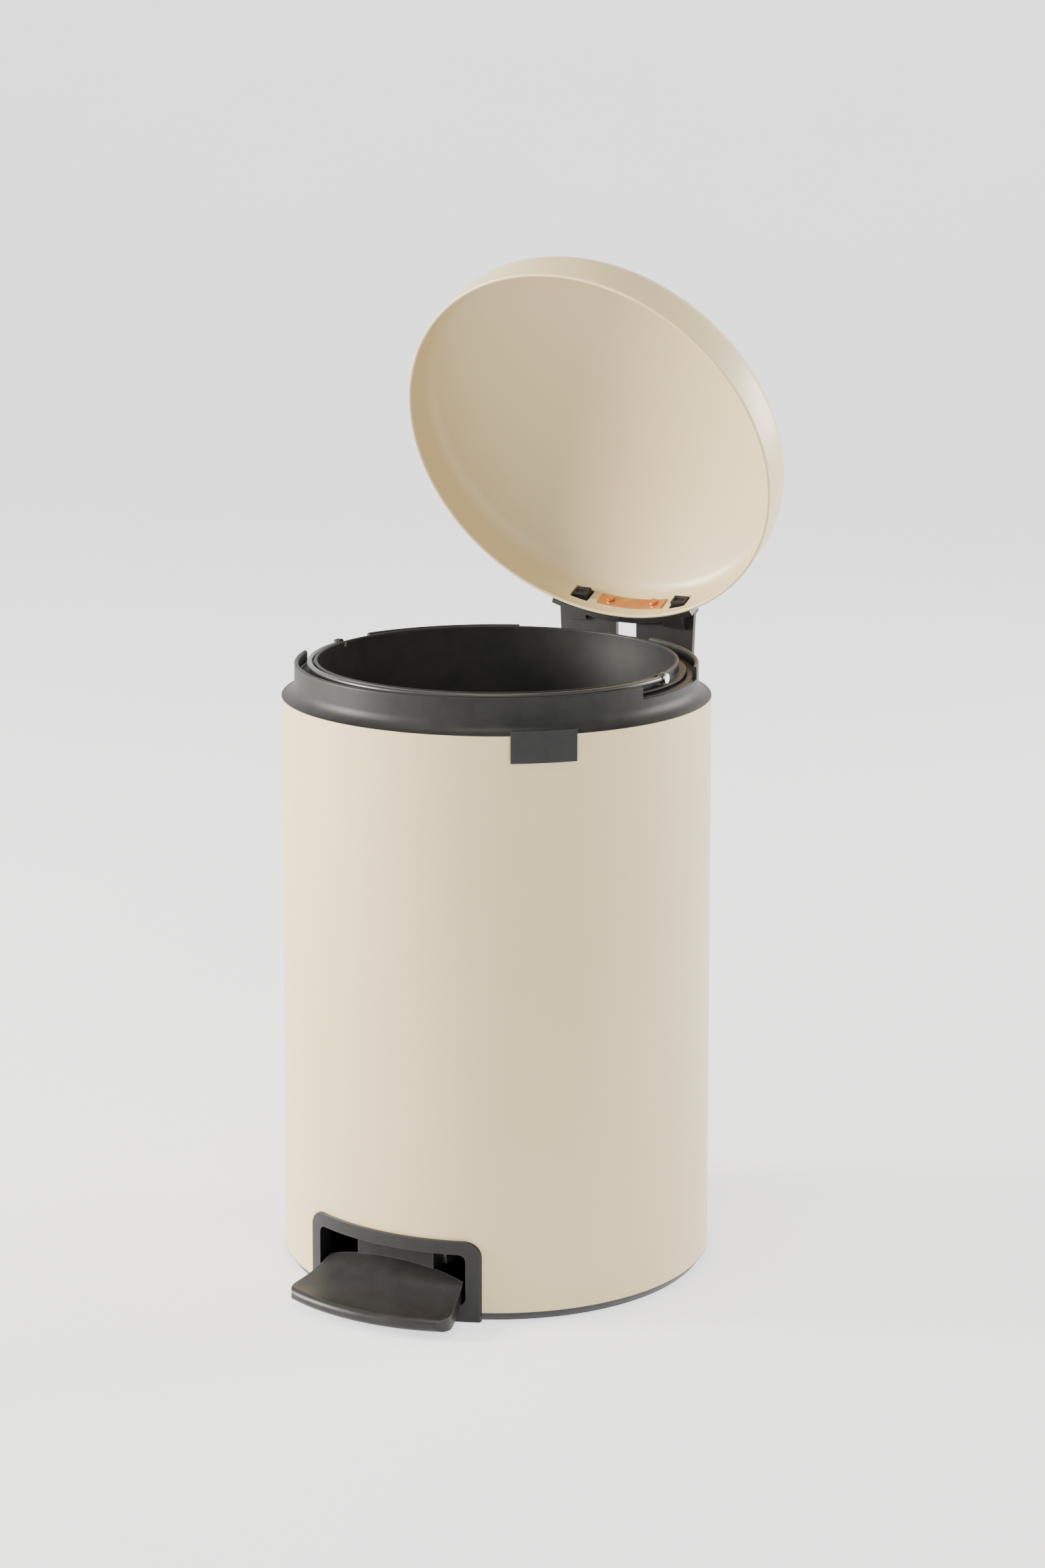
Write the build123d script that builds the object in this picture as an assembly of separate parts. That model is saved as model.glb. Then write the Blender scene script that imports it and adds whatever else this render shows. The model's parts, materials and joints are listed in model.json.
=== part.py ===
from build123d import *
import os
from math import asin, cos, degrees, pi, radians, sin, sqrt, tan

# Step-on waste bin, lid open and pedal pressed.  Millimetres, +Z up, origin on the floor at the
# centre of the base, pedal towards -Y and hinge towards +Y.

os.makedirs("parts", exist_ok=True)

# ---------------------------------------------------------------- driving sizes
body_radius = 125.0        # outside of the sheet steel body
closed_height = 399.0      # floor to the top of the closed lid
lid_open_deg = 65.0        # how far the lid stands open as drawn
shell_wall = 0.8           # body sheet
lid_wall = 1.0             # lid sheet
surround_width = 110.8     # frame round the pedal
surround_top = 46.5
pedal_reach = 33.0         # how far the pedal stands out of the body
hinge_setback = 27.5       # hinge pin behind the body's outside
rod_inset = 4.76           # push rod's axis in from the body's outside
bracket_half = 48.0        # half the width of the lid's bracket at the lid
window_x = 34.5            # middle of each catch window in the lid
rivet_x = 15.0
label_angle = 42.0         # label tab, counted from the pedal towards +X

# ---------------------------------------------------------------- fits
running = 0.05             # radial clearance of a turning or held pin
seat = 0.1                 # gap between a fixed piece and the sheet it sits on
screw_hole = 1.7           # radius of a hole for a 3.2 mm screw
screw_shank = 1.6

# ---------------------------------------------------------------- sizes that follow: body
far = 2 * body_radius                   # past everything, for cutters
shell_bottom = 5.3
shell_top = closed_height - 66.7
shell_inner = body_radius - shell_wall
pan_top = shell_bottom + 2.6
opening_half = surround_width / 2 - 7.4  # half width of the pedal opening
opening_bottom = pan_top + 2.1
opening_top = surround_top - 7.4
base_screw_radius = body_radius - 14.0

# ---------------------------------------------------------------- lid and collar
rim_z = shell_top + 3.7                 # lid rim when closed
lid_radius = body_radius - 3.5
lid_skirt = 19.0
lid_shoulder = 14.0
wall_radius = body_radius - 7.5         # upstanding wall of the collar
wall_top = shell_top + 19.7
ledge_z = shell_top + 12.3              # shelf the bucket hangs on
ledge_under = ledge_z - 2.2
rivet_z = rim_z + 14.5
band_outer = lid_radius + 3.4           # outside of the bracket's band round the lid
bracket_back = bracket_half - 3.0       # half the bracket's width at the hinge
band_half_deg = degrees(asin(bracket_half / lid_radius))
skirt_y = sqrt(lid_radius ** 2 - window_x ** 2)   # lid's outside at a catch window

# ---------------------------------------------------------------- hinge, crank and rod
hinge_y = body_radius + hinge_setback
half_open = radians(lid_open_deg / 2)
crank_radius = 2 * (hinge_setback + rod_inset) / (1 + cos(half_open))
rod_travel = 2 * crank_radius * sin(half_open)
rod_y = body_radius - rod_inset
rod_radius = 2.0
pin_radius = 2.5
crank_pin_z = ledge_under - 8.1         # keeps the rod head's fork below the shelf
hinge_z = crank_pin_z - rod_travel / 2
crank_top = hinge_z + 11.4              # end of the crank let into the bracket's plate
fork_foot = crank_pin_z - 10            # underside of the rod head's fork
throat_bottom = fork_foot - rod_travel - 1.2
throat_half = 13.0                      # half width of the slot the crank passes through
slot_radius = 2.75                      # half height of the fork's slot

# ---------------------------------------------------------------- pedal and lever
pedal_front_half = opening_half + 6     # the tread is wider where it stands out of the body
pedal_rear_half = opening_half - 4
pivot_y = -0.6 * body_radius
pivot_z = 33.0
pedal_rear = 11.5 - body_radius         # where the tread ends inside the opening
lever_arm = rod_y - pivot_y
lever_tilt = degrees(asin(rod_travel / 2 / lever_arm))
tongue_z = pivot_z + lever_arm * sin(radians(lever_tilt)) / cos(radians(lever_tilt))
lever_screw_y = pivot_y - 18

# ---------------------------------------------------------------- bucket
bucket_rim_z = shell_top + 20.7
lip_radius = body_radius - 19.0         # outside of the bucket's upright lip
bucket_floor_z = tongue_z + 5.1         # clears the lever
bail_z = bucket_rim_z - 2.0
stud_radius = 1.5


# ---------------------------------------------------------------- helpers
def block(x0, x1, y0, y1, z0, z1):
    """A box given by its limits."""
    return Pos((x0 + x1) / 2, (y0 + y1) / 2, (z0 + z1) / 2) * Box(x1 - x0, y1 - y0, z1 - z0)


def upright(radius, z0, z1, x=0.0, y=0.0):
    """A vertical cylinder."""
    return Pos(x, y, (z0 + z1) / 2) * Cylinder(radius, z1 - z0)


def tube(r_out, r_in, z0, z1):
    """A vertical tube about the bin's axis."""
    return upright(r_out, z0, z1) - upright(r_in, z0 - 1, z1 + 1)


def along_x(radius, x0, x1, y, z):
    """A cylinder lying along X."""
    return Pos((x0 + x1) / 2, y, z) * Rot(0, 90, 0) * Cylinder(radius, x1 - x0)


def along_y(radius, y0, y1, x, z):
    """A cylinder lying along Y."""
    return Pos(x, (y0 + y1) / 2, z) * Rot(90, 0, 0) * Cylinder(radius, y1 - y0)


def turned(points):
    """A solid of revolution about Z from a closed list of (radius, height)."""
    return revolve(Plane.XZ * make_face(Polyline(*points, close=True)), Axis.Z)


def at_angle(angle, radius):
    """Plan position at an angle counted from the pedal towards +X."""
    return radius * sin(radians(angle)), -radius * cos(radians(angle))


def wedge(a0, a1, r0, r1, z0, z1):
    """A ring sector between two angles counted from the pedal towards +X."""
    mid = (a0 + a1) / 2
    outer = ThreePointArc(at_angle(a0, r1), at_angle(mid, r1), at_angle(a1, r1))
    inner = ThreePointArc(at_angle(a1, r0), at_angle(mid, r0), at_angle(a0, r0))
    sides = [Line(at_angle(a1, r1), at_angle(a1, r0)), Line(at_angle(a0, r0), at_angle(a0, r1))]
    face = make_face([outer, sides[0], inner, sides[1]])
    return Pos(0, 0, z0) * extrude(face, z1 - z0)


def front_outline(half_width, z0, z1, corner):
    """A rounded rectangle seen from the front, carried back from the front of the bin."""
    face = Rectangle(2 * half_width, z1 - z0)
    face = fillet(face.vertices(), corner)
    plane = Plane(origin=(0, -body_radius - 10, (z0 + z1) / 2), x_dir=(1, 0, 0), z_dir=(0, -1, 0))
    return extrude(plane * face, -body_radius / 2)


def side_profile(points, x0, x1):
    """A closed (y, z) outline carried along X."""
    face = make_face(Polyline(*[(0, y, z) for y, z in points], close=True))
    return Pos(x0, 0, 0) * extrude(face, x1 - x0, dir=(1, 0, 0))


def opened(shape):
    """Turn a piece of the lid from its closed place to where it stands open."""
    return shape.rotate(Axis((0, hinge_y, hinge_z), (1, 0, 0)), -lid_open_deg)


def mirrored_limits(inner, outer, side):
    """Limits in X of a piece that stands on one side (-1 or 1) of the middle."""
    return sorted((inner * side, outer * side))


def joined(shapes):
    """Separate pieces kept side by side in one node."""
    return Compound(children=[s if isinstance(s, Solid) else s.solids()[0] for s in shapes])


# ---------------------------------------------------------------- body
def make_shell():
    cut_front = block(-opening_half - 2.3, opening_half + 2.3, -far, 0, 0, opening_top + 2.6)
    cut_rear = block(-throat_half, throat_half, 0, far, throat_bottom, shell_top + 5)
    shell = tube(body_radius, shell_inner, shell_bottom, shell_top) - cut_front - cut_rear
    for x, z in housing_screw_places():
        shell -= along_y(screw_hole + 0.1, 0, far, x, z)
    return shell


def make_foot_ring():
    inner = body_radius - 20
    foot, top = 0.6, shell_bottom
    ring = turned([(inner, foot), (body_radius - 3.3, foot), (body_radius, top), (inner, top)])
    ring -= tube(body_radius - 4.1, body_radius - 9.1, 0, 2.0)
    for x, y in base_screw_places():
        ring -= upright(3.6, 0, 3.2, x, y) + upright(screw_hole, 0, 10, x, y)
    return ring


def base_screw_places():
    return [at_angle(a, base_screw_radius) for a in (0, 120, 240)]


def make_floor_rubber():
    return tube(body_radius - 4.2, body_radius - 9.0, 0, 2.0)


def make_base_screws():
    return joined([upright(3.4, 1.2, 3.2, x, y) + upright(screw_shank, 3.2, pan_top - 0.5, x, y)
                   for x, y in base_screw_places()])


def make_base_pan():
    outer = shell_inner - seat
    pan = upright(outer, shell_bottom, pan_top)
    wall = tube(outer, outer - 2.1, pan_top, 26)
    wall -= block(-opening_half - 2.4, opening_half + 2.4, -far, 0, 0, 60)
    wall -= block(-throat_half, throat_half, 0, far, 0, 60)
    pan += wall
    for side in (-1, 1):
        x0, x1 = mirrored_limits(36, 41, side)
        post = block(x0, x1, pivot_y - 9, pivot_y + 9, pan_top, pivot_z)
        pan += post + along_x(9, x0, x1, pivot_y, pivot_z)
        rib = [(pivot_y + 9, pan_top), (pivot_y + 30, pan_top), (pivot_y + 9, pivot_z - 6)]
        pan += side_profile(rib, x0, x1)
    pan -= along_x(pin_radius + running, -60, 60, pivot_y, pivot_z)
    for x, y in base_screw_places():
        pan -= upright(screw_hole, 0, 10, x, y)
    return pan


def make_pedal_surround():
    flange = tube(body_radius + 2.2, body_radius + 0.05, 0.6, surround_top)
    flange &= front_outline(surround_width / 2, -12, surround_top, 9)
    sleeve = tube(body_radius + 0.1, wall_radius, 0.6, surround_top)
    sleeve &= front_outline(opening_half + 2, opening_bottom - 2, opening_top + 2.3, 5)
    return flange + sleeve - front_outline(opening_half, opening_bottom, opening_top, 4)


def collar_profile(with_wall):
    """Section of the collar; without its wall it ends level with the shelf."""
    edge, foot = (body_radius, shell_top + seat), (wall_radius, shell_top + 9)
    bevel = ThreePointArc(edge, (wall_radius + 2.3, shell_top + 2.7), foot)
    outer = shell_inner - seat
    wall = [(wall_radius, wall_top - 1), (wall_radius - 0.8, wall_top), (wall_radius - 2.5, wall_top),
            (wall_radius - 2.5, ledge_z)]
    top = wall if with_wall else [(wall_radius, ledge_z)]
    points = [foot] + top + [(lip_radius + 1.3, ledge_z), (lip_radius + 1.3, ledge_under),
                             (wall_radius - 4.5, ledge_under), (wall_radius - 2.5, shell_top + 7.2),
                             (wall_radius - 0.2, shell_top + 1.2), (outer - 2.5, shell_top - 2),
                             (outer - 2.5, shell_top - 14), (outer, shell_top - 14),
                             (outer, shell_top + seat), edge]
    return make_face([bevel, Polyline(*points)])


def collar_sector(face, a0, a1):
    """Part of the collar between two angles counted from the pedal towards +X."""
    return Rot(0, 0, a0 - 90) * revolve(Plane.XZ * face, Axis.Z, revolution_arc=a1 - a0)


def make_collar():
    high, low = collar_profile(True), collar_profile(False)
    bridge = make_face(Polyline((lip_radius + 1.3, ledge_under), (wall_radius, ledge_under),
                                (wall_radius, ledge_z), (lip_radius + 1.3, ledge_z), close=True))
    grip_start, grip_end = 74, 108
    rear, slot = 180 - band_half_deg, 180 - degrees(asin(throat_half / wall_radius))
    collar = collar_sector(high, -grip_start, grip_start)
    collar += collar_sector(bridge, slot, 360 - slot)
    for face, a0, a1 in ((low, grip_start, grip_end), (high, grip_end, rear), (low, rear, slot)):
        collar += collar_sector(face, a0, a1)
        collar += collar_sector(face, 360 - a1, 360 - a0)
    return collar


def make_bucket_pads():
    return joined([wedge(a - 3, a + 3, lip_radius + 2, lip_radius + 6, ledge_z, ledge_z + 0.7)
                   for a in (45, 135, 225, 315)])


def make_label_tab():
    half = degrees(19.0 / body_radius)
    a0, a1, top = label_angle - half, label_angle + half, shell_top + 3.3
    skirt = wedge(a0, a1, body_radius + 0.05, body_radius + 1.8, shell_top - 15.5, top)
    lip = wedge(a0, a1, body_radius - 2, body_radius + 0.06, top - 1.7, top)
    return skirt + lip


# ---------------------------------------------------------------- hinge on the body
def housing_screw_places():
    return [(x, z) for x in (-20, 20) for z in (hinge_z - 25, hinge_z - 8)]


cover_screw_places = (-17, 17)


def make_hinge_housing():
    front = upright(body_radius + seat, 0, closed_height)
    saddle = tube(body_radius + 3, body_radius + seat, hinge_z - 34, shell_top)
    saddle &= block(-31, 31, 0, far, 0, closed_height)
    sides = [(body_radius - 8, hinge_z - 32), (hinge_y - 6, hinge_z - 26), (hinge_y - 2, hinge_z - 8),
             (hinge_y - 2, hinge_z), (body_radius + 8, hinge_z + 10), (body_radius - 8, hinge_z + 10)]
    body = side_profile(sides, -26, 26) + along_x(8, -26, 26, hinge_y, hinge_z)
    body = saddle + (body - front)
    body -= block(-7.8, 7.8, 0, far, hinge_z - 27, closed_height)
    body -= block(-throat_half, throat_half, 0, body_radius + 6, throat_bottom, closed_height)
    body -= along_x(pin_radius + running, -60, 60, hinge_y, hinge_z)
    for x, z in housing_screw_places():
        body -= along_y(screw_hole, 0, body_radius + 12, x, z)
    for x in cover_screw_places:
        body -= along_y(1.3, hinge_y - 12, far, x, hinge_z - 18)
    return body - block(-23, 23, hinge_y - 6, far, hinge_z - 25, hinge_z - 11)


def make_housing_screws():
    screws = []
    for x, z in housing_screw_places():
        head = sqrt(shell_inner ** 2 - (abs(x) + 3) ** 2) - seat
        screws.append(along_y(3, head - 1.8, head, x, z) + along_y(screw_shank, head, body_radius + 11, x, z))
    return joined(screws)


def make_hinge_cover():
    cover = block(-22.8, 22.8, hinge_y - 5.9, hinge_y - 4.2, hinge_z - 24.8, hinge_z - 11.2)
    for x in cover_screw_places:
        cover -= along_y(1.4, 0, far, x, hinge_z - 18)
    return cover


def make_cover_screws():
    return joined([along_y(1.25, hinge_y - 11, hinge_y - 4.2, x, hinge_z - 18)
                   + along_y(2.4, hinge_y - 4.2, hinge_y - 2.8, x, hinge_z - 18) for x in cover_screw_places])


def make_hinge_pin():
    return along_x(pin_radius, -40, 40, hinge_y, hinge_z)


def make_pin_clips():
    clips = []
    for side in (-1, 1):
        x0, x1 = mirrored_limits(38.4, 39.4, side)
        ring = along_x(4.8, x0, x1, hinge_y, hinge_z) - along_x(pin_radius, x0 - 1, x1 + 1, hinge_y, hinge_z)
        clips.append(ring - block(x0 - 1, x1 + 1, hinge_y, hinge_y + 9, hinge_z - 1.2, hinge_z + 1.2))
    return joined(clips)


def make_friction_washers():
    washers = []
    for side in (-1, 1):
        x0, x1 = mirrored_limits(2.4, 7.6, side)
        washers.append(along_x(7, x0, x1, hinge_y, hinge_z)
                       - along_x(pin_radius + running, x0 - 1, x1 + 1, hinge_y, hinge_z))
    return joined(washers)


def make_rod_guides():
    guides = []
    for z in (0.34 * shell_top, 0.73 * shell_top):
        guide = block(-8, 8, rod_y - 5, body_radius, z, z + 8) & upright(shell_inner - seat, z, z + 8)
        guides.append(guide - upright(rod_radius + 0.07, z - 1, z + 9, 0, rod_y))
    return joined(guides)


# ---------------------------------------------------------------- lid, drawn closed then opened
def lid_solid(inset):
    """The filled lid, drawn in by an inset."""
    top, edge, shoulder = closed_height - inset, lid_radius - inset, lid_shoulder - inset
    skirt, centre = rim_z + lid_skirt, lid_radius - lid_shoulder
    drop = closed_height - skirt
    dome = (drop ** 2 + centre ** 2 - lid_shoulder ** 2) / (2 * (drop - lid_shoulder)) - inset
    dome_z = top - dome
    reach = sqrt(centre ** 2 + (skirt - dome_z) ** 2)
    dir_r, dir_z = centre / reach, (skirt - dome_z) / reach
    join = (centre + shoulder * dir_r, skirt + shoulder * dir_z)
    half = asin(dir_r) / 2
    corner = pi / 4 - half
    mid_corner = (centre + shoulder * cos(corner), skirt + shoulder * sin(corner))
    mid_dome = (dome * sin(half), dome_z + dome * cos(half))
    lines = Polyline((0, top), (0, rim_z), (edge, rim_z), (edge, skirt))
    face = make_face([lines, ThreePointArc((edge, skirt), mid_corner, join),
                      ThreePointArc(join, mid_dome, (0, top))])
    return revolve(Plane.XZ * face, Axis.Z)


def rivet_holes():
    """Cutters for the two rivets that hold the lid, its bracket and the spring plate together."""
    return [along_y(screw_hole, 0, far, x, rivet_z) for x in (-rivet_x, rivet_x)]


def make_lid_shell():
    lid = lid_solid(0) - lid_solid(lid_wall)
    lid += tube(lid_radius - lid_wall + 0.01, lid_radius - 2.1, rim_z, rim_z + 2.6)
    for x in (-window_x, window_x):
        lid -= block(x - 6, x + 6, 0, far, rim_z + 8, rim_z + 20)
    return opened(lid - rivet_holes())


def bracket_plan():
    """Outline of the bracket from above, without the hollow for the lid's skirt."""
    front, back = lid_radius - 21.5, hinge_y + 8
    corners = [(-bracket_half, front), (bracket_half, front), (bracket_back, back), (-bracket_back, back)]
    return make_face(Polyline(*corners, close=True))


def plate_top(y):
    """Height of the bracket's plate, which stands upright when the lid is open."""
    return hinge_z + 14 + (hinge_y - y) / tan(radians(lid_open_deg))


def make_lid_bracket():
    skirt = upright(lid_radius + seat, 0, closed_height)
    front, back, band_top = lid_radius - 21.5, hinge_y + 8, rim_z + 21
    plate = [(front, plate_top(front) - 3.6), (back, plate_top(back) - 3.6),
             (back, plate_top(back)), (front, plate_top(front))]
    bracket = side_profile(plate, -bracket_half, bracket_half) & extrude(bracket_plan(), closed_height)
    bracket -= skirt
    bracket += wedge(180 - band_half_deg, 180 + band_half_deg, lid_radius + seat, band_outer, rim_z, band_top)
    for side in (-1, 1):
        x0, x1 = mirrored_limits(28, 38, side)
        arm = [(hinge_y - 8, hinge_z), (back, hinge_z), (back, plate_top(back)),
               (hinge_y - 14, plate_top(hinge_y - 14))]
        bracket += side_profile(arm, x0, x1) + along_x(8, x0, x1, hinge_y, hinge_z)
    for x in (-window_x, window_x):
        bracket += block(x - 7.5, x + 7.5, skirt_y - 16, skirt_y + 9, rim_z, band_top) - skirt
    for x in (-window_x, window_x):
        bracket -= block(x - 5.4, x + 5.4, skirt_y - 16, skirt_y + 7, rim_z + 9.6, rim_z + 18.4)
    bracket -= along_x(pin_radius + running, -60, 60, hinge_y, hinge_z)
    bracket -= block(-7, 7, body_radius + 1.5, body_radius + 11, hinge_z, rim_z + 15)
    bracket -= block(-2.1, 2.1, hinge_y - 6.1, hinge_y + 2, hinge_z, crank_top + 0.1)
    return opened(bracket - rivet_holes())


def make_lid_crank():
    """Steel plate from the bracket round the hinge pin to the crank pin."""
    closed_tilt = -lid_open_deg / 2
    arm = block(-2, 2, hinge_y - crank_radius, hinge_y, hinge_z - 5, hinge_z + 5)
    arm += along_x(5, -2, 2, hinge_y - crank_radius, hinge_z)
    arm = arm.rotate(Axis((0, hinge_y, hinge_z), (1, 0, 0)), -closed_tilt)
    arm += along_x(7.5, -2, 2, hinge_y, hinge_z)
    arm += block(-2, 2, hinge_y - 6, hinge_y + 1.9, hinge_z, crank_top)
    arm -= along_x(pin_radius + running, -5, 5, hinge_y, hinge_z)
    return opened(arm) - make_crank_pin()


def make_crank_pin():
    """The pin where the linkage is left open: it lies in the slot of the rod head."""
    return along_x(rod_radius, -6.5, 6.5, hinge_y - crank_radius * cos(half_open), crank_pin_z)


def make_spring_plate():
    half = degrees(23.0 / lid_radius)
    inner, outer = lid_radius - lid_wall - 0.9, lid_radius - lid_wall - 0.05
    plate = wedge(180 - half, 180 + half, inner, outer, rim_z + 9, rim_z + 19)
    return opened(plate - rivet_holes())


def make_lid_rivets():
    head_radius, rivets = 2.6, []
    for x in (-rivet_x, rivet_x):
        face = sqrt((lid_radius - lid_wall - 0.9) ** 2 - (rivet_x + head_radius) ** 2) - seat
        rivet = along_y(head_radius, face - 1.4, face, x, rivet_z)
        rivets.append(opened(rivet + along_y(screw_shank, face, band_outer - 0.4, x, rivet_z)))
    return joined(rivets)


def make_latch(x):
    tongue = block(x - 5, x + 5, skirt_y - 3.3, skirt_y + 4.5, rim_z + 10, rim_z + 18)
    return opened(tongue - block(x - 3.4, x + 3.4, skirt_y - 4, skirt_y - 2.3, rim_z + 12, rim_z + 16))


# ---------------------------------------------------------------- pedal and its lever
def make_pedal():
    tip, rear = -body_radius - pedal_reach, pedal_rear
    centre = rear + 0.66 * body_radius  # axis of the tread's dished shape
    top = [(rear, 27.5), (rear - 6.5, 24.5), (rear - 14.5, 19.6), (rear - 24.5, 15.0), (tip + 10, 12.2)]
    under = [(tip + 8, 4.0), (tip + 20, 6.6), (rear - 14.5, 11.5), (rear - 6.5, 16.2), (rear, 20.0)]
    outline = [Spline(*[(-y + centre, z) for y, z in top + [(tip + 4, 11.6)]]),
               ThreePointArc((centre - tip - 4, 11.6), (centre - tip, 8.2), (centre - tip - 3, 4.6)),
               Spline(*[(-y + centre, z) for y, z in [(tip + 3, 4.6)] + under]),
               Line((centre - rear, 20.0), (centre - rear, 27.5))]
    dish = Pos(0, centre, 0) * revolve(Plane.XZ * make_face(outline), Axis.Z)
    wide, narrow, shoulder = pedal_front_half, pedal_rear_half, tip + 9
    front = ThreePointArc((-wide, shoulder), (0, tip), (wide, shoulder))
    plan = make_face([front, Polyline((wide, shoulder), (narrow, rear), (-narrow, rear), (-wide, shoulder))])
    corners = plan.vertices().filter_by(lambda v: v.Y < tip + 12)
    pedal = dish & extrude(fillet(corners, 14), 60)
    nose = [(rear - 0.5, 21), (rear - 0.5, 36.5), (rear + 2, 39),
            (pivot_y, 40), (pivot_y, 26), (rear + 4, 21)]
    pedal += side_profile(nose, -25, 25) + along_x(7, -25, 25, pivot_y, pivot_z)
    pedal -= along_x(pin_radius + running, -60, 60, pivot_y, pivot_z)
    for side in (-1, 1):
        x0, x1 = mirrored_limits(16, 26, side)
        pedal -= along_x(1.5, x0, x1, lever_screw_y, pivot_z)
    return pedal


def make_pedal_lever():
    cheek = [(pivot_y - 28, pivot_z - 5), (pivot_y - 28, pivot_z + 5), (pivot_y, pivot_z + 7),
             (pivot_y + 46, pivot_z + 3), (pivot_y + 46, pivot_z - 1.5), (pivot_y, pivot_z - 7)]
    lever = block(-27, 27, pivot_y + 10, pivot_y + 46, pivot_z - 1.5, pivot_z + 1.5)
    lever += block(-11, 11, pivot_y + 40, rod_y - 19, pivot_z - 1.5, pivot_z + 1.5)
    lever += block(-5, 5, rod_y - 20, rod_y + 2.7, pivot_z - 1.5, pivot_z + 1.5)
    for side in (-1, 1):
        x0, x1 = mirrored_limits(25, 27, side)
        lever += side_profile(cheek, x0, x1)
        x0, x1 = mirrored_limits(9, 11, side)
        lever += block(x0, x1, pivot_y + 40, rod_y - 24, pivot_z, pivot_z + 4.5)
    lever -= along_x(pin_radius + running, -60, 60, pivot_y, pivot_z)
    lever = lever.rotate(Axis((0, pivot_y, pivot_z), (1, 0, 0)), lever_tilt)
    return lever - along_x(1.6, -60, 60, lever_screw_y, pivot_z)


def make_pedal_screws():
    screws = []
    for side in (-1, 1):
        shank, head = mirrored_limits(16.2, 27, side), mirrored_limits(27, 28.8, side)
        screw = along_x(1.4, *shank, lever_screw_y, pivot_z)
        screws.append(screw + along_x(2.8, *head, lever_screw_y, pivot_z))
    return joined(screws)


def make_pivot_pin():
    return along_x(pin_radius, -41.5, 41.5, pivot_y, pivot_z)


def make_return_spring():
    coil, wire, turns, pitch = 5.2, 0.7, 3.25, 1.9
    path = Helix(pitch=pitch, height=turns * pitch, radius=coil)
    start = Plane(origin=path @ 0, z_dir=path % 0)
    spring = sweep(start * Circle(wire), path=path)
    return Pos(28.5, pivot_y, pivot_z) * Rot(0, 90, 0) * spring


# ---------------------------------------------------------------- push rod
def make_push_rod():
    return upright(rod_radius, tongue_z + 4, fork_foot, 0, rod_y)


def make_rod_foot():
    foot = block(-8, 8, rod_y - 5.5, rod_y + 2.7, tongue_z - 5.5, tongue_z + 6)
    foot += upright(2.7, tongue_z + 6, tongue_z + 11, 0, rod_y)
    foot -= block(-5.6, 5.6, rod_y - 10, rod_y + 10, tongue_z - 2.4, tongue_z + 2.4)
    return foot - upright(rod_radius, tongue_z + 4, tongue_z + 20, 0, rod_y)


def make_rod_head():
    z = crank_pin_z
    head = block(-5.5, 5.5, rod_y - 3.5, rod_y + 3.5, z - 18, z - 8)
    for side in (-1, 1):
        x0, x1 = mirrored_limits(3, 5.5, side)
        head += block(x0, x1, rod_y - 7.6, rod_y + 7.6, fork_foot, z + 5.6)
    sway = (crank_radius - crank_radius * cos(half_open)) / 2 - 0.4
    slot = block(-9, 9, rod_y - sway, rod_y + sway, z - slot_radius, z + slot_radius)
    slot += along_x(slot_radius, -9, 9, rod_y - sway, z) + along_x(slot_radius, -9, 9, rod_y + sway, z)
    return head - slot - upright(rod_radius, z - 20, fork_foot, 0, rod_y)


# ---------------------------------------------------------------- bucket
def make_bucket():
    base, z = body_radius - 31.5, bucket_floor_z
    flange_z = ledge_z + 1.0
    outside = turned([(0, z), (base - 6, z), (base - 1.8, z + 1.8), (base, z + 6),
                      (lip_radius - 1, flange_z - 8), (lip_radius, flange_z - 4),
                      (lip_radius, flange_z), (lip_radius + 4.8, flange_z),
                      (lip_radius + 4.8, flange_z + 1.5), (lip_radius, flange_z + 1.5),
                      (lip_radius, bucket_rim_z - 0.6), (lip_radius - 0.6, bucket_rim_z), (0, bucket_rim_z)])
    inside = turned([(0, z + 2), (base - 7, z + 2), (base - 3.2, z + 3.6), (base - 1.8, z + 7),
                     (lip_radius - 2.8, flange_z - 8), (lip_radius - 2, flange_z - 3),
                     (lip_radius - 2, bucket_rim_z + 1), (0, bucket_rim_z + 1)])
    return outside - inside - bail_bore()


def bail_bore():
    """Cutter for the studs' holes right across the bucket."""
    return along_x(stud_radius + running, -body_radius, body_radius, 0, bail_z)


def make_bail_studs():
    studs = []
    for side in (-1, 1):
        shank = mirrored_limits(lip_radius - 2, lip_radius + 4.2, side)
        head = mirrored_limits(lip_radius + 4.2, lip_radius + 5.4, side)
        studs.append(along_x(stud_radius, *shank, 0, bail_z) + along_x(2.8, *head, 0, bail_z))
    return joined(studs)


def make_bail_handle():
    reach = lip_radius + 2.5
    path = ThreePointArc((-reach, 0), (0, -reach), (reach, 0))
    wire = sweep(Plane(origin=path @ 0, z_dir=path % 0) * Circle(1.7), path=path)
    wire = Pos(0, 0, bail_z) * wire
    for side in (-1, 1):
        x0, x1 = mirrored_limits(reach - 1.3, reach + 1.3, side)
        wire += along_x(3.2, x0, x1, 0, bail_z)
    return wire - bail_bore()


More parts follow.
